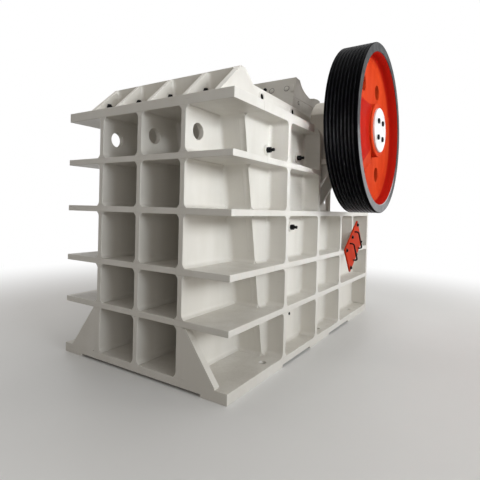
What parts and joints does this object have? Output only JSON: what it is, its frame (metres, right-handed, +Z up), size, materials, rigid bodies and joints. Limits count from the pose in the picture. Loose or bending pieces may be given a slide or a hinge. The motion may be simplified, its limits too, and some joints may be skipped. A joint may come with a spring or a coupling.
{
  "type": "single-toggle jaw crusher",
  "caption": "Single-toggle jaw crusher with a welded frame of open ribbed cells, a grooved belt pulley, a flywheel and toothed jaw plates.",
  "frame": {"origin": "on the floor under the middle of the machine's box", "axes": "+Z up; +X towards the belt pulley; +Y to the rear, so the feed side and the fixed jaw face -Y"},
  "size_m": [2.65, 3.19, 2.837],
  "materials": {
    "frame_paint": "cream semi-gloss machine paint",
    "jaw_steel": "as-cast manganese steel",
    "machined_steel": "turned and ground steel",
    "black_paint": "black paint",
    "spring_steel": "dark coated spring steel",
    "wheel_paint": "glossy orange-red paint, black rim",
    "red_paint": "glossy orange-red paint",
    "cap_paint": "white gloss paint"
  },
  "bodies": {
    "frame": {"base_flange_front": "frame_paint", "base_flange_left": "frame_paint", "base_flange_right": "frame_paint", "base_flange_rear": "frame_paint", "foot_pads": "frame_paint", "front_shelves": "frame_paint", "side_shelves_left": "frame_paint", "side_shelves_right": "frame_paint", "top_flange_front": "frame_paint", "top_flange_left": "frame_paint", "top_flange_right": "frame_paint", "front_web_left": "frame_paint", "front_web_centre": "frame_paint", "front_web_right": "frame_paint", "side_ribs_left": "frame_paint", "side_ribs_right": "frame_paint", "front_wall": "frame_paint", "side_plate_left": "frame_paint", "side_plate_right": "frame_paint", "top_gussets": "frame_paint", "foot_gussets": "frame_paint", "rear_end_plate": "frame_paint", "toggle_beam": "frame_paint", "toggle_block": "frame_paint", "adjusting_wedges": "machined_steel", "bearing_pedestal_left": "frame_paint", "bearing_pedestal_right": "frame_paint", "bearing_housing_left": "frame_paint", "bearing_housing_right": "frame_paint", "fixed_jaw_plate": "jaw_steel", "cheek_plate_left": "jaw_steel", "cheek_plate_right": "jaw_steel", "cover_plate_left": "red_paint", "cover_plate_right": "red_paint", "cover_handles": "black_paint", "tension_rods": "black_paint", "tension_springs": "spring_steel"},
    "rotor": {"eccentric_shaft": "machined_steel", "belt_pulley": "wheel_paint", "flywheel": "wheel_paint", "hub_caps": "cap_paint"},
    "swing_jaw": {"swing_jaw_casting": "frame_paint", "swing_jaw_plate": "jaw_steel", "jaw_guard": "frame_paint", "toggle_plate": "machined_steel"}
  },
  "joints": [
    {"name": "rotor_turn", "type": "hinge", "parent": "frame", "child": "rotor", "pos_m": [0, 0.225, 2.049], "axis": [1, 0, 0], "continuous": true},
    {"name": "jaw_swing", "type": "hinge", "parent": "frame", "child": "swing_jaw", "pos_m": [0, 0.225, 2.049], "axis": [-1, 0, 0], "range_deg": [0, 1.1]}
  ]
}
